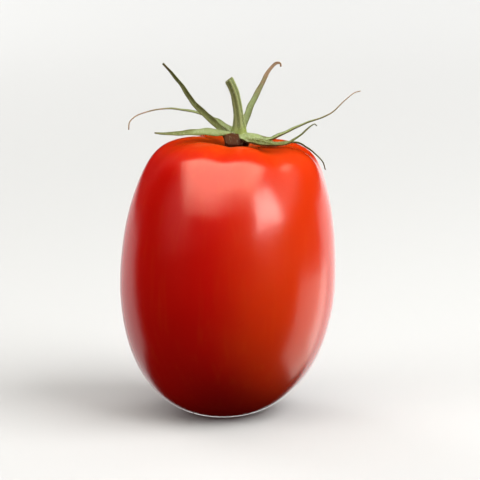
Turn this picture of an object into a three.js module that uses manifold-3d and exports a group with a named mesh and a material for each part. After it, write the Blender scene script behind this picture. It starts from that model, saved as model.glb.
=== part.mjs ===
// A ripe plum tomato, as picked, standing on the flat of its blossom end.
// Three pieces: the fruit, its calyx of narrow sepals, and the short stem that it hung by.
// Millimetres, +Z up. The origin is the middle of the flat spot that the fruit rests on, and the
// top leans a little to +X. Azimuths are degrees round +Z from +X, and -Y is the side in view.
import * as THREE from "three";
import { mergeVertices } from "three/addons/utils/BufferGeometryUtils.js";
import Module from "manifold-3d";

const wasm = await Module();
wasm.setup();

const { clamp, degToRad, euclideanModulo, lerp, radToDeg, smoothstep } = THREE.MathUtils;

// Fruit
// Hull of the outline's smooth curve, as [radius, height] from the blossom end to the stem scar.
const FRUIT_OUTLINE = [
  [0, -1.2], [8.8, -0.3], [16.5, 4.2], [22.1, 11.9], [25, 20.5], [26.2, 30.3], [25.9, 39.5],
  [24.8, 48], [22.6, 57], [19.5, 64.2], [13.6, 66.4], [8.8, 66.9], [4.5, 65.1], [0, 63.3],
];
const WIDEST_HEIGHT = 34;
const SHOULDER_HEIGHT = 66;
const AXIS_LEAN = 0.035; // sideways shift of the axis towards +X, per millimetre of height
const SCAR_SHIFT = 1.3; // further shift of the stem scar, growing towards the top
const SCAR_SHIFT_POWER = 5; // how late that shift comes on
const SHOULDER_TILT = 0.04; // slope of the shoulder down towards +X
const LOBE_COUNT = 3; // broad swellings over the chambers inside
const LOBE_SWELL = 0.3;
const LOBE_AZIMUTH = -90;
const OVAL_SWELL = 0.05; // half the difference between the fruit's two widths
const OVAL_AZIMUTH = 15;
// Furrows that run out of the stem cavity and fade down the side, as [azimuth, depth].
const FURROWS = [[-104, 0.75], [-57, 0.75], [-4, 0.5], [45, 0.6], [92, 0.5], [141, 0.65], [197, 0.5]];
const FURROW_WIDTH = 12; // degrees to where a furrow is a third as deep
const FURROW_START = 26; // height where a furrow starts to show
const FURROW_FULL = 58; // height where it reaches its depth
const CAVITY_REACH = 8; // inside this radius the furrows fade into the scar
const FRUIT_RINGS = 46;
const FRUIT_SIDES = 64;

// Calyx
const CALYX_CENTRE = [3.6, 0, 67.5];
const HUB_TILT = 11; // degrees that the hub tips down
const HUB_TILT_AZIMUTH = -25; // the side that it tips towards
// Half outline of the hub, as [radius, height over the calyx centre]: neck, dished underside, top.
const HUB_OUTLINE = [
  [0, -2.6], [2.6, -2.6], [2.7, -2.1], [3.5, -1.3], [4.8, -0.7], [5.2, 0], [3.4, 0.4], [0, 0.5],
];
const HUB_SIDES = 24;
const SEPAL_STATIONS = 22;
const SEPAL_TIP_HALF_WIDTH = 0.3;
const SEPAL_THICKNESS = 0.6; // along the edges and at the tip
const SEPAL_RIB = 0.25; // extra thickness under the middle of the base
const SECTION_STEPS = [-1, -0.5, 0, 0.5, 1]; // across the blade, from its left edge to its right
const FOLD_POWER = 1.5; // how the fold steepens towards the edges
// A sepal's half width at the base, how fast it narrows, how far its edges fold up per half width,
// its roll at base and tip in degrees, clockwise seen from the hub, and its route, as [reach along
// its azimuth, drift to the left of it, rise] from the calyx centre.
const SEPALS = {
  uprightLeft: {
    azimuth: 157, halfWidth: 1.1, taper: 1.3, fold: 0.5, roll: [20, 95],
    route: [[2.9, -0.1, 0], [4.5, -0.7, 1.2], [8.3, -1.2, 4.1], [12.1, -1.4, 7.3], [15.1, -1.4, 11.2],
      [18, -1.1, 14.6], [19.8, -0.5, 16.7]],
  },
  archingLeft: {
    azimuth: 128, halfWidth: 1.5, taper: 2.4, fold: 0.35, roll: [0, 20],
    route: [[2.3, 0, 0], [4.9, -0.2, 1.6], [10.1, 0.7, 3.5], [13.3, 1.6, 4.4], [16.9, 3.8, 5],
      [20.1, 6.3, 5.2], [23.4, 9.7, 4.3], [25.4, 12.2, 3], [26, 13.4, 1.6], [25.9, 13.7, -0.2]],
  },
  uprightRight: {
    azimuth: 76, halfWidth: 1.15, taper: 0.8, fold: 0.3, roll: [0, -25],
    route: [[2.3, 0, 0], [3.6, -0.3, 1.5], [5.6, -0.9, 4.2], [7.3, -1.6, 6.7], [8.8, -2.7, 9.4],
      [9.6, -3.9, 12.2], [10.5, -5.5, 15.2], [10.7, -6.9, 16.6], [10.6, -7.9, 16.6], [10.4, -8.1, 15.9]],
  },
  flatLeft: {
    azimuth: 190, halfWidth: 1.9, taper: 1, fold: 0.3, roll: [24, 38],
    route: [[2.3, 0, 0.2], [5, 0.6, 0.9], [8.6, 1.1, 1.3], [12.2, 1.3, 1.3], [15.7, 1.3, 1.3],
      [18.4, 1, 1.4], [20.2, 0.7, 1.5]],
  },
  foldedDown: {
    azimuth: -101, halfWidth: 2.8, taper: 0.5, fold: 0.15, roll: [0, 0],
    route: [[2.3, 0, 0], [3.6, 0, -0.1], [4.8, 0, -0.35], [6, 0.1, -0.65]],
  },
  curledFront: {
    azimuth: -72, halfWidth: 1.5, taper: 1.2, fold: 0.35, roll: [0, 0],
    route: [[2.3, 0, -0.1], [5.8, 0.4, -0.1], [9.3, 1, -0.2], [11.6, 2.1, -0.25], [13, 3.7, -0.3],
      [13.7, 5.8, -0.25], [13.8, 8, 0], [13.5, 9.9, 0.9], [13.6, 11.3, 1.85], [13.7, 12.9, 3.25],
      [13.7, 14.1, 4.05], [13.8, 14.9, 4.3], [13.7, 15.3, 3.8]],
  },
  droopingRight: {
    azimuth: -46, halfWidth: 2, taper: 1.8, fold: 0.25, roll: [0, 0],
    route: [[2.3, 0, 0], [5.9, -0.3, -0.1], [8.8, -0.6, -0.1], [11.3, -0.1, -0.25], [13, 1.8, -0.35],
      [14, 4.4, -0.2], [14.6, 6.7, -0.7], [14.9, 8.2, -1.6], [15.8, 10.3, -3.4], [16.5, 12.2, -5.5],
      [16.4, 13.5, -7.7]],
  },
  longRight: {
    azimuth: -20, halfWidth: 2.3, taper: 2.4, fold: 0.25, roll: [0, 0],
    route: [[2.3, 0, 0.1], [4, -0.6, 0.15], [6.4, -0.8, -0.3], [8.6, -0.2, -0.1], [9.8, 0.9, 0.5],
      [11.4, 2.6, 1.3], [13.3, 5, 2.35], [15, 6.6, 3.2], [20.2, 10.1, 5.4], [23.3, 12, 8.6],
      [25.1, 12.9, 10.1], [26.5, 13.4, 10.6]],
  },
};

// Stem
// The stem's middle line, as [x, y, z] from the calyx centre, and its radius at the same points.
const STEM_ROUTE = [
  [0.15, -0.07, 0.85], [0.35, -0.15, 2.2], [0.25, -0.1, 5], [-0.2, 0, 8.2], [-0.8, 0, 10.9], [-2.1, 0, 13.8],
];
const STEM_RADII = [1.85, 1.35, 1.15, 1.1, 1.1, 1.15];
const STEM_STATIONS = 18;
const STEM_SIDES = 12;
const STEM_CUT_SLANT = 0.5; // how far the cut end slopes, as rise over run

const MATERIALS = {
  fruit: new THREE.MeshStandardMaterial({ color: 0xd21f0a, roughness: 0.25, metalness: 0 }),
  calyx: new THREE.MeshStandardMaterial({ color: 0x8a9a55, roughness: 0.7, metalness: 0 }),
  stem: new THREE.MeshStandardMaterial({ color: 0x76823f, roughness: 0.65, metalness: 0 }),
};

// A closed skin over rows of points, with a point to close each end. pointAt(row, column) gives a
// Vector3. Rows run from the first end to the last, and columns anticlockwise seen from the last.
function closedSkin(rows, columns, pointAt, firstEnd, lastEnd) {
  const points = [];
  const faces = [];
  for (let row = 0; row < rows; row++) {
    for (let column = 0; column < columns; column++) {
      points.push(...pointAt(row, column));
    }
  }
  const first = rows * columns;
  const last = first + 1;
  const top = first - columns;
  points.push(...firstEnd, ...lastEnd);
  for (let column = 0; column < columns; column++) {
    const next = (column + 1) % columns;
    for (let below = 0; below < top; below += columns) {
      const above = below + columns;
      faces.push(below + column, below + next, above + next);
      faces.push(below + column, above + next, above + column);
    }
    faces.push(first, next, column);
    faces.push(last, top + column, top + next);
  }
  const skin = new THREE.BufferGeometry();
  skin.setAttribute("position", new THREE.Float32BufferAttribute(points, 3));
  skin.setIndex(faces);
  return skin;
}

// The uniform cubic B-spline of an outline that crosses the axis at both ends, at share 0 to 1.
function outlineAt(outline, share) {
  const last = outline.length - 1;
  const mirrored = ([radius, height]) => [-radius, height];
  const hull = [mirrored(outline[1]), ...outline, mirrored(outline[last - 1])];
  const span = Math.min(Math.floor(share * last), last - 1);
  const t = share * last - span;
  const weights = [(1 - t) ** 3, 3 * t ** 3 - 6 * t ** 2 + 4, 3 * (t + t ** 2 - t ** 3) + 1, t ** 3];
  const blend = (axis) => weights.reduce((sum, weight, i) => sum + (weight * hull[span + i][axis]) / 6, 0);
  return new THREE.Vector2(blend(0), blend(1));
}

// The outward normal of the fruit's outline, from two points close to each side.
function outlineNormal(share) {
  const step = 0.002;
  const before = outlineAt(FRUIT_OUTLINE, Math.max(share - step, 0));
  const after = outlineAt(FRUIT_OUTLINE, Math.min(share + step, 1));
  return new THREE.Vector2(after.y - before.y, before.x - after.x).normalize();
}

// How deep the furrows cut at an azimuth in radians, before they fade with height.
function furrowDepth(azimuth) {
  const cut = ([at, depth]) => {
    const away = euclideanModulo(radToDeg(azimuth) - at + 180, 360) - 180;
    return depth * Math.exp(-((away / FURROW_WIDTH) ** 2));
  };
  return FURROWS.reduce((sum, furrow) => sum + cut(furrow), 0);
}

// A point on the fruit's skin, from the share of the outline and the azimuth in radians.
function fruitPoint(share, azimuth) {
  const { x: radius, y: height } = outlineAt(FRUIT_OUTLINE, share);
  const normal = outlineNormal(share);
  const belly = Math.sin(Math.PI * clamp(height / SHOULDER_HEIGHT, 0, 1));
  const lobes = LOBE_SWELL * Math.cos(LOBE_COUNT * (azimuth - degToRad(LOBE_AZIMUTH)));
  const oval = OVAL_SWELL * Math.cos(2 * (azimuth - degToRad(OVAL_AZIMUTH)));
  const furrowed = smoothstep(height, FURROW_START, FURROW_FULL) * smoothstep(radius, 0, CAVITY_REACH);
  const lift = belly * (lobes + oval) - furrowed * furrowDepth(azimuth);
  const r = radius + lift * normal.x;
  const z = Math.max(height + lift * normal.y, 0);
  const x = r * Math.cos(azimuth);
  const lean = AXIS_LEAN * z + SCAR_SHIFT * (z / SHOULDER_HEIGHT) ** SCAR_SHIFT_POWER;
  const tilt = SHOULDER_TILT * x * smoothstep(z, 0, WIDEST_HEIGHT);
  return new THREE.Vector3(x + lean, r * Math.sin(azimuth), z - tilt);
}

function fruit() {
  const pointAt = (row, column) =>
    fruitPoint((row + 1) / (FRUIT_RINGS + 1), (2 * Math.PI * column) / FRUIT_SIDES);
  return closedSkin(FRUIT_RINGS, FRUIT_SIDES, pointAt, fruitPoint(0, 0), fruitPoint(1, 0));
}

// Evenly spaced frames along a smooth route. The normal starts as near to up as it can, and turns
// only as the route bends. The side points to the right, seen along the route with the normal up.
function framesAlong(route, stations, up) {
  const curve = new THREE.CatmullRomCurve3(route);
  const frames = [];
  let normal = up;
  for (let i = 0; i < stations; i++) {
    const share = i / (stations - 1);
    const tangent = curve.getTangentAt(share);
    normal = normal.clone().addScaledVector(tangent, -normal.dot(tangent)).normalize();
    const side = tangent.clone().cross(normal);
    frames.push({ share, centre: curve.getPointAt(share), tangent, normal, side });
  }
  return frames;
}

// A point of a sepal's section, at u across the blade from -1 to 1, on its top or its underside.
function sepalPoint(sepal, frame, u, under) {
  const narrowing = (1 - frame.share) ** sepal.taper;
  const halfWidth = lerp(SEPAL_TIP_HALF_WIDTH, sepal.halfWidth, narrowing);
  const thickness = SEPAL_THICKNESS + SEPAL_RIB * narrowing * (1 - Math.abs(u));
  const rise = sepal.fold * halfWidth * Math.abs(u) ** FOLD_POWER - (under ? thickness : 0);
  const roll = degToRad(lerp(sepal.roll[0], sepal.roll[1], frame.share));
  const across = u * halfWidth * Math.cos(roll) - rise * Math.sin(roll);
  const above = u * halfWidth * Math.sin(roll) + rise * Math.cos(roll);
  return frame.centre.clone().addScaledVector(frame.side, across).addScaledVector(frame.normal, above);
}

function sepalGeometry(sepal) {
  const azimuth = degToRad(sepal.azimuth);
  const up = new THREE.Vector3(0, 0, 1);
  const route = sepal.route.map((point) => new THREE.Vector3(...point).applyAxisAngle(up, azimuth));
  const frames = framesAlong(route, SEPAL_STATIONS, up);
  const section = [
    ...SECTION_STEPS.map((u) => ({ u, under: false })),
    ...SECTION_STEPS.toReversed().map((u) => ({ u, under: true })),
  ];
  const pointAt = (row, column) => sepalPoint(sepal, frames[row], section[column].u, section[column].under);
  const middle = (frame) => sepalPoint(sepal, frame, 0, false).lerp(sepalPoint(sepal, frame, 0, true), 0.5);
  return closedSkin(SEPAL_STATIONS, section.length, pointAt, middle(frames[0]), middle(frames.at(-1)));
}

function hubGeometry() {
  const outline = HUB_OUTLINE.map((point) => new THREE.Vector2(...point));
  const hub = new THREE.LatheGeometry(outline, HUB_SIDES).rotateX(Math.PI / 2);
  const hinge = degToRad(HUB_TILT_AZIMUTH + 90);
  const axis = new THREE.Vector3(Math.cos(hinge), Math.sin(hinge), 0);
  return hub.applyMatrix4(new THREE.Matrix4().makeRotationAxis(axis, degToRad(HUB_TILT)));
}

function solidOf(geometry) {
  geometry.deleteAttribute("normal");
  geometry.deleteAttribute("uv");
  const merged = mergeVertices(geometry);
  const vertProperties = merged.attributes.position.array;
  const triVerts = new Uint32Array(merged.index.array);
  return new wasm.Manifold(new wasm.Mesh({ numProp: 3, vertProperties, triVerts }));
}

// The sepals grow from the hub, so all of them are one body with it.
function calyx() {
  let solid = solidOf(hubGeometry());
  for (const sepal of Object.values(SEPALS)) {
    solid = solid.add(solidOf(sepalGeometry(sepal)));
  }
  const { vertProperties, triVerts } = solid.getMesh();
  const geometry = new THREE.BufferGeometry();
  geometry.setAttribute("position", new THREE.BufferAttribute(vertProperties, 3));
  geometry.setIndex(new THREE.BufferAttribute(triVerts, 1));
  return geometry;
}

function stem() {
  const route = STEM_ROUTE.map((point) => new THREE.Vector3(...point));
  const frames = framesAlong(route, STEM_STATIONS, new THREE.Vector3(0, 1, 0));
  const radii = new THREE.SplineCurve(STEM_RADII.map((radius, i) => new THREE.Vector2(i, radius)));
  const pointAt = (row, column) => {
    const { share, centre, tangent, normal, side } = frames[row];
    const turn = (2 * Math.PI * column) / STEM_SIDES;
    const towardsSide = -radii.getPoint(share).y * Math.cos(turn);
    const towardsNormal = radii.getPoint(share).y * Math.sin(turn);
    const slant = row === STEM_STATIONS - 1 ? -STEM_CUT_SLANT * towardsSide : 0;
    const point = centre.clone().addScaledVector(side, towardsSide);
    return point.addScaledVector(normal, towardsNormal).addScaledVector(tangent, slant);
  };
  return closedSkin(STEM_STATIONS, STEM_SIDES, pointAt, frames[0].centre, frames.at(-1).centre);
}

function named(name, geometry) {
  const mesh = new THREE.Mesh(geometry, MATERIALS[name]);
  mesh.name = name;
  return mesh;
}

const crown = new THREE.Group();
crown.position.set(...CALYX_CENTRE);
crown.add(named("calyx", calyx()));
crown.add(named("stem", stem()));

const tomato = new THREE.Group();
tomato.add(named("fruit", fruit()));
tomato.add(crown);

export default tomato;
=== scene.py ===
"""A ripe plum tomato with its calyx and stem, on a pale studio sweep."""
import math
import random

import bmesh
import bpy
from bpy.props import FloatProperty, FloatVectorProperty, IntProperty, PointerProperty
from mathutils import Matrix, Vector, noise


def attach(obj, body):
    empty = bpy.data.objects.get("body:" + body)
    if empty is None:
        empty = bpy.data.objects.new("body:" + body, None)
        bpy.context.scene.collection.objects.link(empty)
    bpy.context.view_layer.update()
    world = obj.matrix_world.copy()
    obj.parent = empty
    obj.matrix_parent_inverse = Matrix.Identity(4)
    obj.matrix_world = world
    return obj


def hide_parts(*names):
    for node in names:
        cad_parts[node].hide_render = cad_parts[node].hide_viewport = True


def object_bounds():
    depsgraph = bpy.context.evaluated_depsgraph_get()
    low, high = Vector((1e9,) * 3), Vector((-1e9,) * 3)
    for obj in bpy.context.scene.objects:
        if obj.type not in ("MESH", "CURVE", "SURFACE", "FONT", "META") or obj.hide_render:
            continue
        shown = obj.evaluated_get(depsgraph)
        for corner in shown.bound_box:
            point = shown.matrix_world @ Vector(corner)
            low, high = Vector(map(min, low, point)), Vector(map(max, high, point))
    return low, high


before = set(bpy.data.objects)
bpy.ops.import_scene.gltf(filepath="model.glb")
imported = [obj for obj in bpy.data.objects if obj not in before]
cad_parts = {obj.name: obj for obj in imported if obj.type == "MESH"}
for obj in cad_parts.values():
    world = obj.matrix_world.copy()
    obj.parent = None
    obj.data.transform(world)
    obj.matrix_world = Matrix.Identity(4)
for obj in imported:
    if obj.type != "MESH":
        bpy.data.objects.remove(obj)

bl_info = {
    "name": "Plum tomato",
    "version": (1, 0, 0),
    "blender": (4, 5, 0),
    "location": "3D View > Sidebar > Tomato",
    "description": "Dresses a plum tomato: its skin, calyx and stem, and the studio round it",
    "category": "Object",
}

CAD_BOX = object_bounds()
MM = 0.001
UP = Vector((0, 0, 1))

# Fruit. Lengths are in millimetres and azimuths in degrees round +Z from +X.
# Hull of the outline's smooth curve, as (radius, height) from the blossom end to the stem scar.
FRUIT_OUTLINE = (
    (0, -1.2), (8.8, -0.3), (16.5, 4.2), (22.1, 11.9), (25, 20.5), (26.2, 30.3), (25.9, 39.5),
    (24.8, 48), (22.6, 57), (19.5, 64.2), (13.6, 66.4), (8.8, 66.9), (4.5, 65.1), (0, 63.3),
)
WIDEST_HEIGHT = 34
SHOULDER_HEIGHT = 66
AXIS_LEAN = 0.035
SCAR_SHIFT = 1.3
SCAR_SHIFT_POWER = 5
SHOULDER_TILT = 0.04
LOBE_COUNT = 3
LOBE_SWELL = 0.3
LOBE_AZIMUTH = -90
OVAL_SWELL = 0.05
OVAL_AZIMUTH = 15
FURROWS = ((-104, 0.75), (-57, 0.75), (-4, 0.5), (45, 0.6), (92, 0.5), (141, 0.65), (197, 0.5))
FURROW_WIDTH = 12
FURROW_START = 50
FURROW_FULL = 64
FURROW_REACH = 18  # furrows fade out inside this radius
UNEVENNESS = 0.09  # rise and fall of the skin between furrows
UNEVENNESS_SIZE = 11
UNEVEN_ABOVE = (1, 6)  # heights between which the unevenness sets in
PUCKER_COUNT = 23  # fine wrinkles that run into the stem scar
PUCKER_DEPTH = 0.035
PUCKER_STRAY = 2  # how far the wrinkles stray from even spacing
PUCKER_START = (1, 3)  # radii between which they set in
PUCKER_REACH = 8  # and the radius that they fade out at
BLOSSOM_SCAR_RADIUS = 1.3
BLOSSOM_SCAR_DEPTH = 0.35
FRUIT_RINGS = 240
FRUIT_SIDES = 288

# Colours of the skin. Each reach is where a colour starts and where it is full: a height for the
# painted shade, a darker red towards the bottom, a distance from the stem scar or the blossom end for
# what is round them, where the shoulder's orange is partly painted light, and a distance from the
# middle for the painted light, more orange on the lit side.
BLOTCH_SIZE = 14
STREAK_SIZE = 1.6
PAINTED_SHADE_REACH = (10, 50)
PAINTED_SHADE_BLOTCHES = 10
SHOULDER_REACH = (29, 12)
SHOULDER_STREAKS = 7
SHOULDER_SHARE = 0.95
# Painted light: a more orange side to the right and front, where the lamps light the fruit most.
PAINTED_LIGHT_AZIMUTH = -32
PAINTED_LIGHT_REACH = (12, 27)
PAINTED_LIGHT_SHARE = 0.4
EDGE_BLOTCHES = 6  # how far blotches move the edges of the shoulder's colour and of the painted light
STREAK_SHARE = 0.1
SPECK_SPACING = 1.2
SPECK_REACH = (0.09, 0.03)  # shares of the spacing
SPECK_SHARE = 0.2
STEM_SCAR_REACH = (5.4, 3.8)
BLOSSOM_SCAR_REACH = (1.5, 0.9)

# Calyx
CALYX_CENTRE = (3.6, 0, 67.5)
HUB_TILT = 8
HUB_TILT_AZIMUTH = -25
HUB_TOP = 1.1
HUB_DROOP = 0.012  # how fast the top of the hub falls away, per millimetre of radius squared
# The neck's outline, as (radius, height) from the calyx centre.
NECK_OUTLINE = (
    (1.6, -3.15), (2.6, -3.1), (2.72, -2.6), (2.8, -2), (3, -1.2), (3.4, -0.5), (3.7, 0), (3, 0.5),
)
NECK_RIBS = 8
NECK_RIB_HEIGHT = 0.03  # as a share of the radius
NECK_SIDES = 96
COLLAR_RADIUS = 1.4  # inner edge of the star, under the stem's foot
STATION_GAP = 0.35
FREE_SHARE = 0.6  # a sepal comes free of the disc over this share of its disc radius
BLADE_COLUMNS = 12
# under and tone mark where the calyx takes its painted shade.
STAR_LAYERS = ("across", "share", "under", "dry", "tone")
FOLD_POWER = 1.5
EDGE_THICKNESS = 0.16
RIB_THICKNESS = 0.34
WELD_DISTANCE = 0.004  # joins the sepals' points where their parts of the disc meet
WIDTH_CHANGE = 0.12  # how much a blade's half width comes and goes, as a share of it
WIDTH_CHANGE_LENGTH = 2.5
RIPPLE = 0.16  # how far a blade's edges wave up and down
RIPPLE_LENGTH = 4.3
OTHER_EDGE_PHASE = 1.7  # how far one edge's waves are ahead of the other's
OTHER_EDGE_NOISE = 5  # keeps the changes of one edge apart from the other's
WANDER = 0.16  # how far a thin tip strays from its route
WANDER_LENGTH = 3.5
WANDER_SEED = 1  # without it the clock would choose the noise
TONE_SPAN = (0.02, 0.15)  # shares of a sepal's length between which its painted shade sets in
SHADED_ALONG = (0.4, 0.55)  # shares between which the painted shade spreads to its paler side too
PAINTED_SHADOW_TONE = 2  # tone of the painted shadow, dark brown from the base on, on the folded-down lobe and the neck
DRY_POWER = 1.5  # a sepal dries by this power of the share of its length
DRY_GAIN = 1.6
MOTTLE_SIZE = 1.4
DARK_EDGE = (0.55, 1)  # shares of the half width between which a blade darkens to its edge
VEIN_WAVES = 22  # radians of the veins' wave from the middle of a blade to its edge
VEIN_SHARE = 0.25
VEIN_RELIEF = 0.25
# Each sepal's azimuth, the radius out to which it is part of the disc, its half width at the base and
# at the tip, how fast it narrows, how far its edges fold up per half width, its roll at the base and
# at the tip in degrees, how much of it is dry, its tone, which is how dark its painted shade turns it
# past the disc, which side of it takes the painted shade (0 for both), and its route, as (reach along
# its azimuth, drift to the left of it, rise) from the calyx centre. The disc radii are the collar's
# plus whole station gaps.
SEPALS = {
    "long_right": dict(
        azimuth=-20, disc=4.9, half_width=2.3, tip=0.11, taper=2.8, fold=0.25, roll=(0, 0),
        dry=0.6, tone=0.25, shaded=0,
        route=((2.3, 0, 0.1), (4, -0.6, 0.15), (6.4, -0.8, -0.3), (8.6, -0.2, -0.1), (9.8, 0.9, 0.5),
               (11.4, 2.6, 1.3), (13.3, 5, 2.35), (15, 6.6, 3.2), (20.2, 10.1, 5.4), (23.3, 12, 8.6),
               (25.1, 12.9, 10.1), (26.5, 13.4, 10.6))),
    "upright_right": dict(
        azimuth=76, disc=2.45, half_width=1.05, tip=0.16, taper=0.8, fold=0.3, roll=(0, -25),
        dry=0.75, tone=0.25, shaded=0,
        route=((2.3, 0, 0), (3.6, -0.3, 1.5), (5.6, -0.9, 4.2), (7.3, -1.6, 6.7), (8.8, -2.7, 9.4),
               (9.6, -3.9, 12.2), (10.5, -5.5, 15.2), (10.7, -6.9, 16.6), (10.6, -7.9, 16.6),
               (10.4, -8.1, 15.9))),
    "arching_left": dict(
        azimuth=128, disc=2.8, half_width=1.5, tip=0.11, taper=2.8, fold=0.35, roll=(0, 20),
        dry=0.7, tone=0.2, shaded=0,
        route=((2.3, 0, 0), (4.9, -0.2, 1.6), (10.1, 0.7, 3.5), (13.3, 1.6, 4.4), (16.9, 3.8, 5),
               (20.1, 6.3, 5.2), (23.4, 9.7, 4.3), (25.4, 12.2, 3), (26, 13.4, 1.6), (25.9, 13.7, -0.2))),
    "upright_left": dict(
        azimuth=157, disc=2.45, half_width=0.92, tip=0.26, taper=1.1, fold=0.5, roll=(20, 95),
        dry=0.3, tone=0.95, shaded=0,
        route=((2.9, -0.1, 0), (4.5, -0.7, 1.2), (8.3, -1.2, 4.1), (12.1, -1.4, 7.3), (15.1, -1.4, 11.2),
               (18, -1.1, 14.6), (19.8, -0.5, 16.7))),
    "flat_left": dict(
        azimuth=190, disc=3.5, half_width=1.9, tip=0.15, taper=1, fold=0.3, roll=(24, 38),
        dry=0.3, tone=0.7, shaded=-1,
        route=((2.3, 0, 0.2), (5, 0.6, 0.9), (8.6, 1.1, 1.3), (12.2, 1.3, 1.3), (15.7, 1.3, 1.3),
               (18.4, 1, 1.4), (20.2, 0.7, 1.5))),
    # Its dark brown is painted shadow, where the underside of the disc is in shade.
    "folded_down": dict(
        azimuth=263, disc=3.5, half_width=3.5, tip=1.4, taper=0.5, fold=-0.1, roll=(0, 0),
        dry=0, tone=PAINTED_SHADOW_TONE, shaded=0,
        route=((2.3, 0, 0.4), (3.8, 0, 0.45), (4.8, 0, 0.05), (5.4, 0.1, -0.6), (5.7, 0.1, -1.25))),
    "curled_front": dict(
        azimuth=288, disc=4.2, half_width=1.5, tip=0.15, taper=1.2, fold=0.35, roll=(0, 0),
        dry=0.28, tone=1, shaded=-1,
        route=((2.3, 0, -0.1), (5.8, 0.4, -0.1), (9.3, 1, -0.2), (11.6, 2.1, -0.25), (13, 3.7, -0.3),
               (13.7, 5.8, -0.25), (13.8, 8, 0), (13.5, 9.9, 0.9), (13.6, 11.3, 1.85), (13.7, 12.9, 3.25),
               (13.7, 14.1, 4.05), (13.8, 14.9, 4.3), (13.7, 15.3, 3.8))),
    "drooping_right": dict(
        azimuth=314, disc=4.9, half_width=2, tip=0.15, taper=1.8, fold=0.25, roll=(0, 0),
        dry=0.3, tone=0.75, shaded=0,
        route=((2.3, 0, 0), (5.9, -0.3, -0.1), (8.8, -0.6, -0.1), (11.3, -0.1, -0.25), (13, 1.8, -0.35),
               (14, 4.4, -0.2), (14.6, 6.7, -0.7), (14.9, 8.2, -1.6), (15.8, 10.3, -3.4),
               (16.5, 12.2, -5.5), (16.4, 13.5, -7.7))),
}

# Stem. Its middle line, as (x, y, z) from the calyx centre, and its radius at the same points.
STEM_ROUTE = (
    (0.15, -0.07, 0.2), (0.35, -0.15, 2.2), (0.25, -0.1, 5), (-0.2, 0, 8.2), (-0.8, 0, 10.9),
    (-2.1, 0, 13.8),
)
STEM_RADII = (2.1, 1.35, 1.12, 1.08, 1.08, 1.1)
STEM_STATIONS = 90
STEM_SIDES = 48
STEM_RIDGES = 6
STEM_RIDGE_HEIGHT = 0.06  # as a share of the radius
STEM_RIDGE_TWIST = 6  # length over which the ridges' wave turns by one radian
STEM_ROUGHNESS = 0.05  # as a share of the radius
STEM_ROUGHNESS_LENGTH = 1.5
STEM_CUT_SLANT = 0.22
STEM_SLANT_LENGTH = 1.5
STEM_CUT_ROUNDING = 0.14  # share of its radius that the stem loses at the cut
STEM_ROUNDING_LENGTH = 0.5
STEM_BROWNED_FROM = 0.985  # share of the length past which the bark browns towards the cut
STEM_BROWNING = 0.6
STEM_CUT_RINGS = 5
STEM_PITH_DEPTH = 0.28
STEM_PITH_REACH = (0.05, 0.6)  # shares of the way in from the edge of the cut
STEM_FOOT_REACH = (3.2, 1.4)  # heights over the calyx centre between which the foot's green comes in
STEM_FOOT_SHARE = 0.7
FLECK_SIZE = 0.5
FLECK_SHARE = 0.4

# Hairs
HAIR_SIDES = 3
HAIR_LENGTHS = (0.35, 1)  # shares of the longest
HAIR_WIDTH = 0.04  # as a share of the length
HAIR_LEAN = 0.3  # spread of their lean away from upright
HAIR_ROOT = 0.02  # how deep they are sunk in
HAIR_COLOURS = ((0.42, 0.47, 0.27), (0.62, 0.64, 0.48))

# Lamps, as azimuth from the camera towards +X, elevation, distance, width, height, brightness and
# colour. Angles are in degrees and lengths in metres.
WHITE = (1, 1, 1)
WARM = (1, 0.92, 0.73)
LAMP_AIM = Vector((0, 0, 0.04))
LAMPS = {
    "light_above": (-14, 70, 1.2, 1.2, 1.2, 1.6, WHITE),
    "light_floor": (180, 65, 1.5, 1.4, 1.0, 1.7, WHITE),
    "light_right": (66, 40, 1.0, 0.9, 0.8, 10.4, WHITE),
    "light_left": (-66, 22, 1.0, 0.6, 0.6, 5.0, WHITE),
    "light_back_left": (-140, 25, 1.3, 0.6, 0.9, 6.0, WHITE),
    "light_back_right": (140, 25, 1.3, 0.6, 0.9, 2.4, WHITE),
}
SHINES = {
    "shine_above": (-12, 64, 1.0, 2.2, 1.55, 4.6, WARM),
    "shine_above_core": (-14, 64, 1.0, 1.6, 1.15, 4.2, WARM),
    "shine_window": (48, 18, 1.0, 0.56, 0.26, 15.0, WHITE),
    "shine_back_right": (150, -16, 1.2, 1.5, 0.7, 1.5, WHITE),
    "shine_low_right": (108, -27, 1.0, 0.8, 0.6, 2.2, (1, 0.95, 0.85)),
    "shine_back_left": (-150, -16, 1.2, 1.5, 0.7, 0.9, WHITE),
}
AIR_LIGHT = 0.16
AIR_COLOUR = (0.95, 0.97, 1, 1)
# The lamps miss the far wall, so it glows a little, to stay as pale as the floor.
GLOW_REACH = (0.2, 1.6)
WALL_GLOW = (0.6, 0.6, 0.59)
CAMERA_LENS = 180


class FruitSettings(bpy.types.PropertyGroup):
    # Skin is the red above the painted shade; shade is that painted shade, a darker red on the lower half.
    skin: FloatVectorProperty(
        name="Skin", description="Red of the ripe side", subtype="COLOR", default=(0.42, 0.0020, 0.0003))
    shade: FloatVectorProperty(
        name="Deep skin", description="Deeper red of the lower half", subtype="COLOR",
        default=(0.36, 0.0020, 0.0003))
    # The shoulder's orange round the stem cavity is partly the fruit's own and partly painted light from
    # above; it is also the colour of the painted light on the lit side.
    shoulder: FloatVectorProperty(
        name="Shoulder", description="Orange red round the stem cavity", subtype="COLOR",
        default=(0.47, 0.050, 0.0026))
    speck: FloatVectorProperty(
        name="Specks", description="Pale gold of the tiny specks in the skin", subtype="COLOR",
        default=(0.80, 0.20, 0.06))
    scar: FloatVectorProperty(
        name="Scar", description="Cork brown of the scars at both ends", subtype="COLOR",
        default=(0.30, 0.13, 0.05))
    roughness: FloatProperty(
        name="Roughness", description="How soft the skin's highlights are", default=0.21, min=0, max=1)


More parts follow.
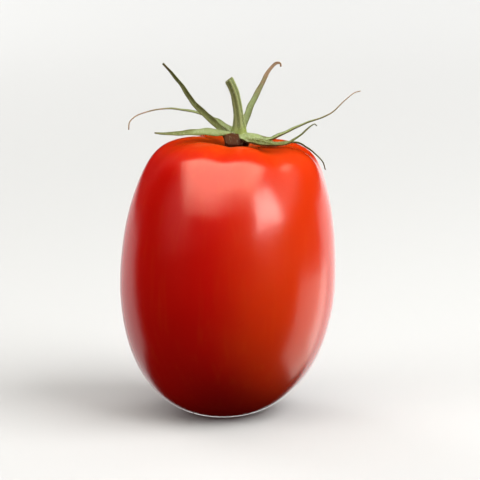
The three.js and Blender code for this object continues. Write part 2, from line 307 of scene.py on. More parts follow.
class CalyxSettings(bpy.types.PropertyGroup):
    upper: FloatVectorProperty(
        name="Upper face", description="Grey green of the upper face", subtype="COLOR",
        default=(0.165, 0.195, 0.08))
    # Painted shade: the darker olive of the underside, the neck and the shaded sides of the sepals.
    under: FloatVectorProperty(
        name="Underside", description="Olive of the underside", subtype="COLOR",
        default=(0.075, 0.08, 0.02))
    vein: FloatVectorProperty(
        name="Veins", description="Pale green of the veins", subtype="COLOR",
        default=(0.25, 0.285, 0.13))
    dry: FloatVectorProperty(
        name="Dry tips", description="Brown of the dried tips", subtype="COLOR",
        default=(0.30, 0.19, 0.11))
    # Painted shadow: the dark brown of the folded-down lobe and the neck, in the shade under the disc.
    painted_shadow_brown: FloatVectorProperty(
        name="Withered lobe", description="Dark brown of the sepal that has died back", subtype="COLOR",
        default=(0.034, 0.010, 0.003))
    hairs: IntProperty(
        name="Hairs", description="How many fine hairs the calyx has", default=1500, min=0)
    hair_length: FloatProperty(
        name="Hair length", description="Length of the longest hairs", default=0.7 * MM, min=0,
        unit="LENGTH")


class StemSettings(bpy.types.PropertyGroup):
    bark: FloatVectorProperty(
        name="Stem", description="Olive green of the stem", subtype="COLOR",
        default=(0.10, 0.115, 0.038))
    ridge: FloatVectorProperty(
        name="Ridges", description="Lighter green along the ridges", subtype="COLOR",
        default=(0.20, 0.22, 0.085))
    foot: FloatVectorProperty(
        name="Foot", description="Yellow green where the stem joins the calyx", subtype="COLOR",
        default=(0.19, 0.23, 0.05))
    cut: FloatVectorProperty(
        name="Cut end", description="Browned olive of the cut end", subtype="COLOR",
        default=(0.085, 0.07, 0.025))
    hairs: IntProperty(
        name="Hairs", description="How many fine hairs the stem has", default=700, min=0)
    hair_length: FloatProperty(
        name="Hair length", description="Length of the longest hairs", default=0.65 * MM, min=0,
        unit="LENGTH")


class StageSettings(bpy.types.PropertyGroup):
    sweep: FloatVectorProperty(
        name="Sweep", description="Off-white of the floor and wall", subtype="COLOR",
        default=(0.37, 0.37, 0.365))
    light: FloatProperty(
        name="Light", description="Strength of all the lamps", default=1.0, min=0)
    view_elevation: FloatProperty(
        name="View elevation", description="How far the camera looks down", subtype="ANGLE",
        default=math.radians(11))
    view_height: FloatProperty(
        name="View height", description="Height of the picture at the tomato", default=0.116,
        min=0.01, unit="LENGTH")


class Socket:
    """An output of a finish's node, so that maths on it reads as maths."""

    def __init__(self, finish, output):
        self.finish = finish
        self.output = output

    def __add__(self, other):
        return self.finish.maths("ADD", self, other)

    def __sub__(self, other):
        return self.finish.maths("SUBTRACT", self, other)

    def __rsub__(self, other):
        return self.finish.maths("SUBTRACT", other, self)

    def __mul__(self, other):
        return self.finish.maths("MULTIPLY", self, other)


class Finish:
    """A material made of nodes, with one Principled shader."""

    def __init__(self, name):
        self.material = bpy.data.materials.new(name)
        self.material.use_nodes = True
        self.tree = self.material.node_tree
        self.shader = self.tree.nodes["Principled BSDF"]

    def node(self, kind, settings=None, inputs=None, output=0):
        """Adds a node, sets it, links or fills its inputs, and returns one of its outputs."""
        node = self.tree.nodes.new(kind)
        for key, value in (settings or {}).items():
            setattr(node, key, value)
        self._fill(node, inputs or {})
        return Socket(self, node.outputs[output])

    def shade(self, **inputs):
        """Fills the shader's inputs, named in lower case with underscores."""
        names = {socket.name.lower().replace(" ", "_"): socket.name for socket in self.shader.inputs}
        self._fill(self.shader, {names[key]: value for key, value in inputs.items()})

    def maths(self, operation, *values):
        return self.node("ShaderNodeMath", {"operation": operation}, dict(enumerate(values)))

    def vector_maths(self, operation, *values, output="Value"):
        return self.node("ShaderNodeVectorMath", {"operation": operation}, dict(enumerate(values)), output)

    def mix(self, factor, first, second):
        """A mix of two colours: inputs 6 and 7 and output 2 are the node's colours."""
        return self.node(
            "ShaderNodeMix", {"data_type": "RGBA"}, {0: factor, 6: first, 7: second}, output=2)

    def ease(self, value, low, high, start=0.0, end=1.0):
        """A smooth step from start to end while value goes from low to high."""
        return self.node(
            "ShaderNodeMapRange", {"interpolation_type": "SMOOTHSTEP"},
            {"Value": value, "From Min": low, "From Max": high, "To Min": start, "To Max": end})

    def reach(self, value, low, high):
        """A smooth step from 0 to 1 while value, in metres, goes from low to high millimetres."""
        return self.ease(value, low * MM, high * MM)

    def place(self, scale=(1, 1, 1)):
        """The point of the surface in the object's own space, stretched by scale."""
        point = self.node("ShaderNodeTexCoord", output="Object")
        return self.vector_maths("MULTIPLY", point, scale, output="Vector")

    def height(self):
        return self.node("ShaderNodeSeparateXYZ", inputs={0: self.place()}, output="Z")

    def clouds(self, size, detail=3.0, scale=(1, 1, 1), roughness=0.55):
        """Noise from 0 to 1 whose clouds are about size metres across."""
        inputs = {"Vector": self.place(scale), "Scale": 1 / size, "Detail": detail, "Roughness": roughness}
        return self.node("ShaderNodeTexNoise", inputs=inputs)

    def bump(self, height, distance, strength=1.0):
        inputs = {"Height": height, "Distance": distance, "Strength": strength}
        return self.node("ShaderNodeBump", inputs=inputs)

    def attribute(self, name):
        return self.node("ShaderNodeAttribute", {"attribute_name": name}, output="Fac")

    def _fill(self, node, inputs):
        for key, value in inputs.items():
            if isinstance(value, Socket):
                self.tree.links.new(value.output, node.inputs[key])
            elif node.inputs[key].type == "RGBA":
                node.inputs[key].default_value = (*value[:3], 1)
            else:
                node.inputs[key].default_value = value


def smoothstep(value, low, high):
    share = min(max((value - low) / (high - low), 0), 1)
    return share * share * (3 - 2 * share)


def lerp(start, end, share):
    return start + (end - start) * share


def towards(azimuth):
    """The level direction at an azimuth in radians."""
    return Vector((math.cos(azimuth), math.sin(azimuth), 0))


def outline_point(share):
    """The fruit's outline at a share of its length: a uniform cubic B-spline of its hull."""
    last = len(FRUIT_OUTLINE) - 1
    before = (-FRUIT_OUTLINE[1][0], FRUIT_OUTLINE[1][1])
    after = (-FRUIT_OUTLINE[-2][0], FRUIT_OUTLINE[-2][1])
    hull = (before, *FRUIT_OUTLINE, after)
    span = min(int(share * last), last - 1)
    t = share * last - span
    weights = ((1 - t) ** 3, 3 * t**3 - 6 * t**2 + 4, 3 * (t + t**2 - t**3) + 1, t**3)
    return sum((weight / 6 * Vector(hull[span + i]) for i, weight in enumerate(weights)), Vector((0, 0)))


def outline_normal(share):
    step = 0.002
    along = outline_point(min(share + step, 1)) - outline_point(max(share - step, 0))
    return Vector((along.y, -along.x)).normalized()


def furrow_depth(azimuth):
    def cut(at, depth):
        away = (math.degrees(azimuth) - at + 180) % 360 - 180
        return depth * math.exp(-((away / FURROW_WIDTH) ** 2))

    return sum(cut(at, depth) for at, depth in FURROWS)


def fruit_ring(share):
    """One level ring of the fruit's skin, in metres."""
    radius, height = outline_point(share)
    normal = outline_normal(share)
    belly = math.sin(math.pi * min(max(height / SHOULDER_HEIGHT, 0), 1))
    furrowed = smoothstep(height, FURROW_START, FURROW_FULL) * smoothstep(radius, 0, FURROW_REACH)
    top = height > WIDEST_HEIGHT
    puckered = 0
    if top:
        puckered = smoothstep(radius, PUCKER_REACH, PUCKER_REACH / 2) * smoothstep(radius, *PUCKER_START)
    scarred = 0 if top else (1 - min(radius / BLOSSOM_SCAR_RADIUS, 1) ** 2) ** 2
    ring = []
    for side in range(FRUIT_SIDES):
        azimuth = 2 * math.pi * side / FRUIT_SIDES
        lobes = LOBE_SWELL * math.cos(LOBE_COUNT * (azimuth - math.radians(LOBE_AZIMUTH)))
        oval = OVAL_SWELL * math.cos(2 * (azimuth - math.radians(OVAL_AZIMUTH)))
        lift = belly * (lobes + oval) - furrowed * furrow_depth(azimuth)
        stray = PUCKER_STRAY * math.sin(LOBE_COUNT * azimuth)
        lift -= puckered * PUCKER_DEPTH * math.cos(PUCKER_COUNT * azimuth + stray)
        away = towards(azimuth) * radius + UP * height
        lift += UNEVENNESS * smoothstep(height, *UNEVEN_ABOVE) * noise.noise(away / UNEVENNESS_SIZE)
        r = radius + lift * normal.x
        z = max(height + lift * normal.y, 0) + BLOSSOM_SCAR_DEPTH * scarred
        x = r * math.cos(azimuth)
        lean = AXIS_LEAN * z + SCAR_SHIFT * (z / SHOULDER_HEIGHT) ** SCAR_SHIFT_POWER
        tilt = SHOULDER_TILT * x * smoothstep(z, 0, WIDEST_HEIGHT)
        ring.append(Vector((x + lean, r * math.sin(azimuth), z - tilt)) * MM)
    return ring


def catmull_rom(points):
    """A dense, smooth line through points, with the spacing that keeps it from overshooting."""
    ends = (2 * points[0] - points[1], 2 * points[-1] - points[-2])
    hull = [ends[0], *points, ends[1]]
    steps = 24
    line = []
    for a, b, c, d in zip(hull, hull[1:], hull[2:], hull[3:]):
        gaps = [max((q - p).length ** 0.5, 1e-6) for p, q in ((a, b), (b, c), (c, d))]
        leave = (b - a) / gaps[0] - (c - a) / (gaps[0] + gaps[1]) + (c - b) / gaps[1]
        arrive = (c - b) / gaps[1] - (d - b) / (gaps[1] + gaps[2]) + (d - c) / gaps[2]
        for step in range(steps):
            t = step / steps
            line.append(
                b * (2 * t**3 - 3 * t**2 + 1) + leave * gaps[1] * (t**3 - 2 * t**2 + t)
                + c * (3 * t**2 - 2 * t**3) + arrive * gaps[1] * (t**3 - t**2))
    line.append(points[-1])
    return line


def frames_along(points, stations, up):
    """Evenly spaced frames along a smooth line through points, as dictionaries with the share and
    distance along it, the place, the tangent, the normal that starts near up, and the side, which
    is to the right seen along the line."""
    line = catmull_rom(points)
    lengths = [0]
    for p, q in zip(line, line[1:]):
        lengths.append(lengths[-1] + (q - p).length)
    frames = []
    normal = up
    piece = 0
    for station in range(stations):
        share = station / (stations - 1)
        distance = share * lengths[-1]
        while piece < len(line) - 2 and lengths[piece + 1] < distance:
            piece += 1
        step = line[piece + 1] - line[piece]
        within = (distance - lengths[piece]) / max(lengths[piece + 1] - lengths[piece], 1e-9)
        tangent = step.normalized()
        normal = (normal - tangent * normal.dot(tangent)).normalized()
        frames.append(dict(
            share=share, distance=distance, place=line[piece] + step * within,
            tangent=tangent, normal=normal, side=tangent.cross(normal)))
    return frames


def wrap_skin(name, rings, first_end, last_end):
    """A closed mesh over rings of points, with a point to close each end."""
    mesh = bmesh.new()
    rows = [[mesh.verts.new(point) for point in ring] for ring in rings]
    for below, above in zip(rows, rows[1:]):
        for i in range(len(below)):
            mesh.faces.new((below[i - 1], below[i], above[i], above[i - 1]))
    bottom = mesh.verts.new(first_end)
    top = mesh.verts.new(last_end)
    for i in range(len(rows[0])):
        mesh.faces.new((bottom, rows[0][i], rows[0][i - 1]))
        mesh.faces.new((top, rows[-1][i - 1], rows[-1][i]))
    return finished_mesh(name, mesh)


def finished_mesh(name, mesh):
    """Turns a bmesh into a smooth-shaded mesh."""
    bmesh.ops.recalc_face_normals(mesh, faces=mesh.faces)
    data = bpy.data.meshes.new(name)
    mesh.to_mesh(data)
    mesh.free()
    data.shade_smooth()
    return data


def place_piece(name, data, finish, slot, *nodes):
    """Adds a mesh to the scene as a piece that rides on the body."""
    piece = bpy.data.objects.new(name, data)
    bpy.context.scene.collection.objects.link(piece)
    data.materials.append(finish.material)
    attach(piece, "root")
    if nodes:
        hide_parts(*nodes)
    return piece


def set_attribute(data, name, values):
    attribute = data.attributes.new(name, "FLOAT", "POINT")
    attribute.data.foreach_set("value", values)


def skin_finish(settings):
    """Thin glossy tomato skin over red flesh."""
    finish = Finish("tomato_skin")
    point = finish.node("ShaderNodeTexCoord", output="Object")
    from_scar = finish.vector_maths("DISTANCE", point, Vector(CALYX_CENTRE) * MM)
    from_foot = finish.vector_maths("LENGTH", point)
    towards_painted_light = finish.vector_maths("DOT_PRODUCT", point, towards(math.radians(PAINTED_LIGHT_AZIMUTH)))
    blotches = finish.clouds(BLOTCH_SIZE * MM, detail=2)
    streaks = finish.clouds(STREAK_SIZE * MM, detail=3, scale=(1, 1, 0.08))
    edges = blotches * (EDGE_BLOTCHES * MM)
    # Painted shade: a darker red towards the bottom.
    unshaded = finish.reach(finish.height() + blotches * (PAINTED_SHADE_BLOTCHES * MM), *PAINTED_SHADE_REACH)
    colour = finish.mix(unshaded, settings.shade, settings.skin)
    # Partly painted light: the orange round the stem cavity is the fruit's own shoulder, widened for the
    # strong light from above.
    near_scar = finish.reach(from_scar + streaks * (SHOULDER_STREAKS * MM) + edges, *SHOULDER_REACH)
    colour = finish.mix(near_scar * SHOULDER_SHARE, colour, settings.shoulder)
    # Painted light: the lit side to the right and front is turned more orange.
    painted_light = finish.reach(towards_painted_light + edges, *PAINTED_LIGHT_REACH)
    colour = finish.mix(painted_light * PAINTED_LIGHT_SHARE, colour, settings.shoulder)
    colour = finish.mix(finish.ease(streaks, 0.5, 0.75) * STREAK_SHARE, colour, settings.shoulder)
    cells = finish.node(
        "ShaderNodeTexVoronoi", {"feature": "F1"},
        {"Vector": finish.place(), "Scale": 1 / (SPECK_SPACING * MM)}, "Distance")
    specks = finish.ease(cells, *SPECK_REACH) * finish.ease(finish.clouds(3 * MM), 0.42, 0.6)
    colour = finish.mix(specks * SPECK_SHARE, colour, settings.speck)
    colour = finish.mix(finish.reach(from_scar, *STEM_SCAR_REACH), colour, settings.scar)
    colour = finish.mix(finish.reach(from_foot, *BLOSSOM_SCAR_REACH), colour, settings.scar)
    grain = finish.clouds(0.55 * MM, detail=2)
    finish.shade(
        base_color=colour,
        roughness=finish.clouds(5 * MM) * 0.08 + (settings.roughness - 0.04),
        normal=finish.bump(grain + finish.clouds(3.5 * MM) * 3, 0.012 * MM),
        subsurface_weight=0.1, subsurface_radius=(1, 0.06, 0.02), subsurface_scale=1.5 * MM,
        ior=1.45, specular_tint=(1, 0.82, 0.75))
    return finish


def calyx_finish(settings):
    """Dull leaf, veined along the blade and dried brown at the tips, with painted shade: darker olive
    below.
    """
    finish = Finish("calyx_leaf")
    across = finish.attribute("across")
    under = finish.attribute("under")
    dry = finish.attribute("dry")
    tone = finish.attribute("tone")
    mottle = finish.clouds(MOTTLE_SIZE * MM, detail=4)
    edge = finish.ease(finish.maths("ABSOLUTE", across), *DARK_EDGE)
    # Painted shade: the underside, the neck and each sepal by its tone turn to the darker olive.
    dark = finish.ease(under + tone + edge * 0.5 + (mottle - 0.5) * 0.5, 0.1, 1)
    colour = finish.mix(dark, settings.upper, settings.under)
    ribs = finish.maths("COSINE", across * VEIN_WAVES)
    veins = finish.ease(ribs, 0.55, 0.95) * (1 - dry)
    colour = finish.mix(veins * VEIN_SHARE, colour, settings.vein)
    colour = finish.mix(finish.ease(dry + (mottle - 0.5) * 0.5, 0.3, 0.95), colour, settings.dry)
    # Painted shadow: dark brown on the folded-down lobe and the neck.
    colour = finish.mix(finish.ease(tone + (mottle - 0.5) * 0.3, 1.0, 1.5), colour, settings.painted_shadow_brown)
    finish.shade(
        base_color=colour,
        roughness=mottle * 0.2 + 0.5,
        normal=finish.bump(mottle + ribs * VEIN_RELIEF, 0.05 * MM),
        subsurface_weight=0.08, subsurface_radius=(0.3, 0.6, 0.1), subsurface_scale=0.5 * MM,
        specular_ior_level=0.08)
    return finish


def stem_finish(settings):
    """Olive stalk with paler ridges, dark flecks and a browned cut end."""
    finish = Finish("stem_bark")
    ridge = finish.attribute("ridge")
    cut = finish.attribute("cut")
    streaks = finish.clouds(0.8 * MM, detail=4, scale=(1, 1, 0.2))
    colour = finish.mix(finish.ease(ridge + streaks * 0.6, 0.45, 1.2), settings.bark, settings.ridge)
    high, low = (CALYX_CENTRE[2] * MM + height * MM for height in STEM_FOOT_REACH)
    foot = finish.ease(finish.height(), high, low)
    colour = finish.mix(foot * STEM_FOOT_SHARE, colour, settings.foot)
    flecks = finish.ease(finish.clouds(FLECK_SIZE * MM, detail=2), 0.6, 0.72)
    colour = finish.mix(flecks * FLECK_SHARE, colour, settings.cut)
    colour = finish.mix(cut, colour, settings.cut)
    finish.shade(
        base_color=colour,
        roughness=streaks * 0.2 + 0.5,
        normal=finish.bump(streaks + flecks * 0.5, 0.08 * MM),
        specular_ior_level=0.08)
    return finish


def hair_finish():
    """Fine pale plant hair."""
    finish = Finish("plant_hair")
    tint = finish.ease(finish.clouds(2 * MM), 0.35, 0.65)
    finish.shade(
        base_color=finish.mix(tint, *HAIR_COLOURS), roughness=0.55, specular_ior_level=0.1)
    return finish


def sweep_finish(settings):
    """Matt off-white paper."""
    finish = Finish("studio_sweep")
    tone = finish.ease(finish.clouds(0.6, detail=1), 0.3, 0.7, 0.985, 1)
    paper = finish.node(
        "ShaderNodeVectorMath", {"operation": "SCALE"}, {0: tuple(settings.sweep), "Scale": tone})
    away = finish.vector_maths("LENGTH", finish.place())
    glow = finish.mix(finish.ease(away, *GLOW_REACH), (0, 0, 0), WALL_GLOW)
    finish.shade(
        base_color=paper, roughness=0.75, specular_ior_level=0.25, emission_color=glow, emission_strength=1)
    return finish


def hub_point(radius, azimuth):
    """A point on the top of the tilted hub, in millimetres from the calyx centre."""
    level = towards(azimuth) * radius + UP * (HUB_TOP - HUB_DROOP * radius**2)
    return hub_tilt() @ level


def hub_tilt():
    hinge = towards(math.radians(HUB_TILT_AZIMUTH + 90))
    return Matrix.Rotation(math.radians(HUB_TILT), 3, hinge)


def from_calyx(point):
    """A point in millimetres from the calyx centre, as a point in metres from the origin."""
    return (point + Vector(CALYX_CENTRE)) * MM


def sepal_frames(sepal):
    turn = Matrix.Rotation(math.radians(sepal["azimuth"]), 3, "Z")
    route = [turn @ Vector(point) for point in sepal["route"]]
    length = sum((q - p).length for p, q in zip(route, route[1:]))
    return frames_along(route, round(length / STATION_GAP), UP)


def blade_point(sepal, station, u, seed):
    """A point on a sepal's upper face, at u across it from -1 to 1."""
    share = station["share"]
    half_width = lerp(sepal["tip"], sepal["half_width"], (1 - share) ** sepal["taper"])
    edge_noise = OTHER_EDGE_NOISE if u > 0 else 0
    change = noise.noise(Vector((station["distance"] / WIDTH_CHANGE_LENGTH, seed, edge_noise)))
    half_width *= 1 + WIDTH_CHANGE * change
    phase = OTHER_EDGE_PHASE if u > 0 else 0
    wave = math.sin(2 * math.pi * station["distance"] / RIPPLE_LENGTH + seed + phase)
    rise = sepal["fold"] * half_width * abs(u) ** FOLD_POWER
    rise += RIPPLE * wave * u**2 * half_width / sepal["half_width"]
    roll = math.radians(lerp(*sepal["roll"], share))
    across = u * half_width * math.cos(roll) - rise * math.sin(roll)
    above = u * half_width * math.sin(roll) + rise * math.cos(roll)
    stray = WANDER * share * noise.noise_vector(Vector((station["distance"] / WANDER_LENGTH, seed * 3, 0)))
    return station["place"] + station["side"] * across + station["normal"] * above + stray


def star_rows(sepal, left, right, seed):
    """Rows of (point, u, share) over one sepal, from the stem's foot over the disc to the tip.
    Left and right are the azimuths where its part of the disc meets its neighbours'."""
    steps = [2 * column / BLADE_COLUMNS - 1 for column in range(BLADE_COLUMNS + 1)]

    def disc_point(radius, u):
        return hub_point(radius, lerp(left, right, (u + 1) / 2))

    stations = sepal_frames(sepal)
    start = Vector(sepal["route"][0]).xy.length
    rows = []
    disc = sepal["disc"]
    for ring in range(round((disc - COLLAR_RADIUS) / STATION_GAP) + 1):
        radius = COLLAR_RADIUS + ring * STATION_GAP
        rows.append([(disc_point(radius, u), u, 0) for u in steps])
    for station in stations:
        reach = start + station["distance"]
        if reach > disc + STATION_GAP / 2:
            free = smoothstep(reach, disc, disc * (1 + FREE_SHARE))
            share = station["share"]
            rows.append([
                (lerp(disc_point(reach, u), blade_point(sepal, station, u, seed), free), u, share)
                for u in steps])
    return rows


def star_mesh():
    """The sepals as one sheet, joined round the stem's foot, given thickness."""
    sepals = list(SEPALS.values())
    azimuths = [math.radians(sepal["azimuth"]) for sepal in sepals]
    around = [azimuths[-1] - 2 * math.pi, *azimuths, azimuths[0] + 2 * math.pi]
    noise.seed_set(WANDER_SEED)
    mesh = bmesh.new()
    layers = {name: mesh.verts.layers.float.new(name) for name in STAR_LAYERS}
    for index, sepal in enumerate(sepals):
        previous, azimuth, following = around[index:index + 3]
        left = (azimuth + following) / 2
        right = (azimuth + previous) / 2
        rows = []
        for row in star_rows(sepal, left, right, index + 1):
            verts = []
            for point, u, share in row:
                vert = mesh.verts.new(from_calyx(point))
                vert[layers["across"]] = u
                vert[layers["share"]] = share
                vert[layers["dry"]] = min(sepal["dry"] * share**DRY_POWER * DRY_GAIN, 1)
                # Painted shade: past the disc a sepal darkens by its tone, on its shaded side or on both.
                shaded = smoothstep(u * sepal["shaded"], -0.5, 0.5) if sepal["shaded"] else 1
                shaded = max(shaded, smoothstep(share, *SHADED_ALONG))
                begun = smoothstep(share, *TONE_SPAN) if sepal["tone"] < PAINTED_SHADOW_TONE else 1
                vert[layers["tone"]] = sepal["tone"] * begun * shaded
                verts.append(vert)
            rows.append(verts)
        for near, far in zip(rows, rows[1:]):
            for i in range(BLADE_COLUMNS):
                mesh.faces.new((near[i], near[i + 1], far[i + 1], far[i]))
    bmesh.ops.remove_doubles(mesh, verts=mesh.verts, dist=WELD_DISTANCE * MM)
    bmesh.ops.recalc_face_normals(mesh, faces=mesh.faces)
    mesh.normal_update()
    if sum(face.normal.z * face.calc_area() for face in mesh.faces) < 0:
        bmesh.ops.reverse_faces(mesh, faces=mesh.faces)
        mesh.normal_update()
    thicken(mesh, layers)
    return finished_mesh("calyx_star", mesh)


def thicken(mesh, layers):
    """Gives a sheet an underside, thickest under the middle of each base."""
    upper_faces = list(mesh.faces)
    border = [edge for edge in mesh.edges if edge.is_boundary]
    lower = {}
    for vert in list(mesh.verts):
        rib = (1 - vert[layers["share"]]) * (1 - abs(vert[layers["across"]])) ** 2
        twin = mesh.verts.new(vert.co - vert.normal * (EDGE_THICKNESS + RIB_THICKNESS * rib) * MM)
        for name, layer in layers.items():
            # The underside is marked to take the darker olive of painted shade.
            twin[layer] = 1 if name == "under" else vert[layer]
        lower[vert] = twin
    for face in upper_faces:
        mesh.faces.new([lower[vert] for vert in reversed(face.verts)])
    for edge in border:
        loop = edge.link_loops[0]
        a, b = loop.vert, loop.link_loop_next.vert
        mesh.faces.new((b, a, lower[a], lower[b]))


def neck_mesh():
    """The ribbed neck that joins the calyx to the fruit."""
    rings = []
    for radius, height in NECK_OUTLINE:
        ring = []
        for side in range(NECK_SIDES):
            azimuth = 2 * math.pi * side / NECK_SIDES
            ribbed = radius * (1 + NECK_RIB_HEIGHT * math.cos(NECK_RIBS * azimuth))
            level = towards(azimuth) * ribbed + UP * height
            ring.append(from_calyx(hub_tilt() @ level))
        rings.append(ring)
    ends = [from_calyx(hub_tilt() @ (UP * NECK_OUTLINE[end][1])) for end in (0, -1)]
    return wrap_skin("calyx_neck", rings, *ends)


def stem_mesh():
    """The stalk, with ridges, a flared foot and a hollowed, slanting cut end."""
    route = [Vector(point) for point in STEM_ROUTE]
    stations = frames_along(route, STEM_STATIONS, Vector((0, 1, 0)))
    knots = [Vector((index, radius, 0)) for index, radius in enumerate(STEM_RADII)]
    radii = [place["place"].y for place in frames_along(knots, STEM_STATIONS, UP)]
    rings = []
    ridges = []
    cuts = []

    def add_ring(station, radius, slant, depth, cut):
        ring = []
        for side in range(STEM_SIDES):
            turn = 2 * math.pi * side / STEM_SIDES
            crest = math.cos(STEM_RIDGES * turn + station["distance"] / STEM_RIDGE_TWIST)
            along = station["distance"] / STEM_ROUGHNESS_LENGTH
            rough = noise.noise(Vector((3 * math.cos(turn), 3 * math.sin(turn), along)))
            r = radius * (1 + STEM_RIDGE_HEIGHT * crest + STEM_ROUGHNESS * rough)
            across = -r * math.cos(turn)
            point = station["place"] + station["side"] * across + station["normal"] * r * math.sin(turn)
            point += station["tangent"] * (-slant * across - depth)
            ring.append(from_calyx(point))
            ridges.append(0.5 + 0.5 * crest)
            cuts.append(cut)
        rings.append(ring)

    end = stations[-1]
    length = end["distance"]
    for station, radius in zip(stations, radii):
        slant = smoothstep(station["distance"], length - STEM_SLANT_LENGTH, length)
        rounding = smoothstep(station["distance"], length - STEM_ROUNDING_LENGTH, length) ** 2
        browned = smoothstep(station["share"], STEM_BROWNED_FROM, 1)
        add_ring(
            station, radius * (1 - STEM_CUT_ROUNDING * rounding), STEM_CUT_SLANT * slant, 0,
            browned * STEM_BROWNING)
    end_radius = radii[-1] * (1 - STEM_CUT_ROUNDING)
    for step in range(1, STEM_CUT_RINGS):
        inward = step / STEM_CUT_RINGS
        depth = STEM_PITH_DEPTH * smoothstep(inward, *STEM_PITH_REACH)
        add_ring(end, end_radius * (1 - inward), STEM_CUT_SLANT, depth, 1)
    first = from_calyx(stations[0]["place"])
    last = from_calyx(end["place"] - end["tangent"] * STEM_PITH_DEPTH)
    data = wrap_skin("stem_stalk", rings, first, last)
    set_attribute(data, "ridge", [*ridges, 0.5, 0.5])
    set_attribute(data, "cut", [*cuts, 0, 1])
    return data


def hair_mesh(name, source, count, longest, seed):
    """Fine pointed hairs that stand on a mesh, spread evenly over its area."""
    draw = random.Random(seed)
    faces = [face for face in source.polygons]
    chosen = draw.choices(faces, weights=[face.area for face in faces], k=count)
    mesh = bmesh.new()
    for face in chosen:
        lean = Vector([draw.gauss(0, HAIR_LEAN) for _ in range(3)])
        direction = (face.normal + lean).normalized()
        length = longest * draw.uniform(*HAIR_LENGTHS)
        width = length * HAIR_WIDTH
        root = face.center - face.normal * HAIR_ROOT * MM
        first = direction.orthogonal().normalized()
        second = direction.cross(first)
        foot = []
        for side in range(HAIR_SIDES):
            turn = 2 * math.pi * side / HAIR_SIDES
            foot.append(mesh.verts.new(root + (first * math.cos(turn) + second * math.sin(turn)) * width))
        tip = mesh.verts.new(root + direction * length)
        mesh.faces.new(reversed(foot))
        for side in range(HAIR_SIDES):
            mesh.faces.new((foot[side - 1], foot[side], tip))
    return finished_mesh(name, mesh)


class TOMATO_OT_fruit(bpy.types.Operator):
    """Makes the fruit"""
    bl_idname = "tomato.fruit"
    bl_label = "Make fruit"

    def execute(self, context):
        rings = [fruit_ring((row + 1) / (FRUIT_RINGS + 1)) for row in range(FRUIT_RINGS)]
        ends = [sum(fruit_ring(share), Vector()) / FRUIT_SIDES for share in (0, 1)]
        data = wrap_skin("ripe_fruit", rings, *ends)
        place_piece("ripe_fruit", data, skin_finish(context.scene.tomato_fruit), "fruit_skin", "fruit")
        return {"FINISHED"}


class TOMATO_OT_calyx(bpy.types.Operator):
    """Makes the calyx: its star of sepals, its neck and its hairs"""
    bl_idname = "tomato.calyx"
    bl_label = "Make calyx"

    def execute(self, context):
        settings = context.scene.tomato_calyx
        finish = calyx_finish(settings)
        star = place_piece("calyx_star", star_mesh(), finish, "calyx_green", "calyx")
        neck = neck_mesh()
        # The neck is painted as shade, in the underside's olive and the painted shadow's brown, for the
        # stem cavity.
        set_attribute(neck, "under", [1] * len(neck.vertices))
        set_attribute(neck, "tone", [PAINTED_SHADOW_TONE] * len(neck.vertices))
        place_piece("calyx_neck", neck, finish, "calyx_green")
        hairs = hair_mesh("calyx_hairs", star.data, settings.hairs, settings.hair_length, seed=3)
        place_piece("calyx_hairs", hairs, hair_finish(), "calyx_green")
        return {"FINISHED"}


class TOMATO_OT_stem(bpy.types.Operator):
    """Makes the stem and its hairs"""
    bl_idname = "tomato.stem"
    bl_label = "Make stem"

    def execute(self, context):
        settings = context.scene.tomato_stem
        stalk = place_piece("stem_stalk", stem_mesh(), stem_finish(settings), "stem_green", "stem")
        hairs = hair_mesh("stem_hairs", stalk.data, settings.hairs, settings.hair_length, seed=8)
        place_piece("stem_hairs", hairs, hair_finish(), "stem_green")
        return {"FINISHED"}


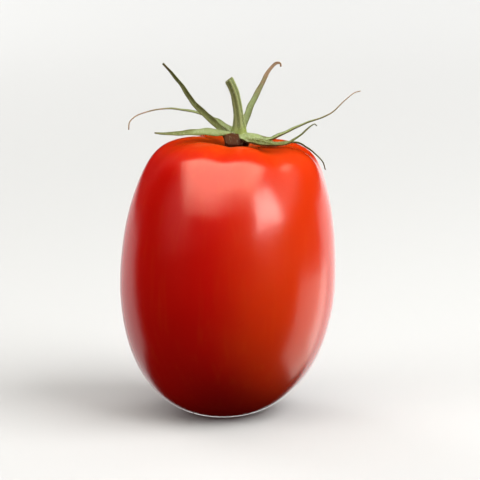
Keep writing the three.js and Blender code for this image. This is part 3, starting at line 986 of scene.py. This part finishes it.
class TOMATO_OT_stage(bpy.types.Operator):
    """Makes the studio: a pale sweep, soft lamps and the camera"""
    bl_idname = "tomato.stage"
    bl_label = "Make studio"

    def execute(self, context):
        settings = context.scene.tomato_stage
        context.scene.view_settings.view_transform = "Standard"
        self.make_sweep(settings)
        self.make_lamps(settings)
        self.make_camera(context, settings)
        return {"FINISHED"}

    def make_sweep(self, settings):
        """A round floor that curves up into a wall on every side."""
        floor_radius = 1.5
        curve_radius = 0.7
        wall_height = 2.2
        floor_steps = 12
        curve_steps = 16
        outline = [(floor_radius * step / floor_steps, 0) for step in range(1, floor_steps + 1)]
        for step in range(1, curve_steps + 1):
            turn = math.pi / 2 * step / curve_steps
            outline.append((
                floor_radius + curve_radius * math.sin(turn), curve_radius * (1 - math.cos(turn))))
        outline.append((floor_radius + curve_radius, wall_height))
        mesh = bmesh.new()
        middle = mesh.verts.new((0, 0, 0))
        sides = 96
        rows = []
        for radius, height in outline:
            rows.append([
                mesh.verts.new(towards(2 * math.pi * side / sides) * radius + UP * height)
                for side in range(sides)])
        for i in range(sides):
            mesh.faces.new((middle, rows[0][i - 1], rows[0][i]))
        for below, above in zip(rows, rows[1:]):
            for i in range(sides):
                mesh.faces.new((below[i - 1], above[i - 1], above[i], below[i]))
        data = bpy.data.meshes.new("studio_sweep")
        mesh.to_mesh(data)
        mesh.free()
        data.shade_smooth()
        data.materials.append(sweep_finish(settings).material)
        sweep = bpy.data.objects.new("studio_sweep", data)
        sweep.visible_diffuse = False
        sweep.visible_glossy = False
        sweep.visible_shadow = False
        bpy.context.scene.collection.objects.link(sweep)

    def make_lamps(self, settings):
        """Soft boxes round the fruit. What lights it and what shines on its skin are lamps of their
        own, so that each has the size and the strength that suits it."""
        for name, place in LAMPS.items():
            self.add_lamp(name, settings.light, *place)
        for name, place in SHINES.items():
            lamp = self.add_lamp(name, settings.light, *place)
            lamp.visible_diffuse = False
        world = bpy.data.worlds.new("studio_air")
        world.use_nodes = True
        background = world.node_tree.nodes["Background"]
        background.inputs["Color"].default_value = AIR_COLOUR
        background.inputs["Strength"].default_value = AIR_LIGHT
        world.cycles_visibility.glossy = False
        bpy.context.scene.world = world

    def add_lamp(self, name, strength, azimuth, elevation, distance, width, height, brightness, colour):
        light = bpy.data.lights.new(name, "AREA")
        light.shape = "RECTANGLE"
        light.size = width
        light.size_y = height
        light.energy = brightness * width * height * math.pi * strength
        light.color = colour
        lamp = bpy.data.objects.new(name, light)
        level = towards(math.radians(azimuth - 90))
        direction = level * math.cos(math.radians(elevation)) + UP * math.sin(math.radians(elevation))
        lamp.location = LAMP_AIM + direction * distance
        lamp.rotation_euler = direction.to_track_quat("Z", "Y").to_euler()
        lamp.visible_camera = False
        lamp.visible_glossy = name in SHINES
        bpy.context.scene.collection.objects.link(lamp)
        return lamp

    def make_camera(self, context, settings):
        low, high = CAD_BOX
        middle = (Vector(low) + Vector(high)) / 2
        camera = bpy.data.cameras.new("photo_view")
        camera.lens = CAMERA_LENS
        distance = settings.view_height * camera.lens / camera.sensor_width
        direction = Vector((0, -math.cos(settings.view_elevation), math.sin(settings.view_elevation)))
        viewer = bpy.data.objects.new("photo_view", camera)
        viewer.location = middle + direction * distance
        viewer.rotation_euler = direction.to_track_quat("Z", "Y").to_euler()
        context.scene.collection.objects.link(viewer)
        context.scene.camera = viewer


class TOMATO_PT_panel(bpy.types.Panel):
    bl_idname = "TOMATO_PT_panel"
    bl_label = "Plum tomato"
    bl_space_type = "VIEW_3D"
    bl_region_type = "UI"
    bl_category = "Tomato"

    def draw(self, context):
        for name, operator in STEPS.items():
            settings = getattr(context.scene, "tomato_" + name)
            box = self.layout.box()
            for key in settings.__annotations__:
                box.prop(settings, key)
            box.operator(operator.bl_idname)


STEPS = {
    "fruit": TOMATO_OT_fruit,
    "calyx": TOMATO_OT_calyx,
    "stem": TOMATO_OT_stem,
    "stage": TOMATO_OT_stage,
}
SETTINGS = {
    "fruit": FruitSettings,
    "calyx": CalyxSettings,
    "stem": StemSettings,
    "stage": StageSettings,
}
CLASSES = (*SETTINGS.values(), *STEPS.values(), TOMATO_PT_panel)


def register():
    for cls in CLASSES:
        bpy.utils.register_class(cls)
    for name, settings in SETTINGS.items():
        setattr(bpy.types.Scene, "tomato_" + name, PointerProperty(type=settings))


def unregister():
    for name in SETTINGS:
        delattr(bpy.types.Scene, "tomato_" + name)
    for cls in reversed(CLASSES):
        bpy.utils.unregister_class(cls)


def main():
    register()
    for name in STEPS:
        getattr(bpy.ops.tomato, name)()


if __name__ == "__main__":
    main()
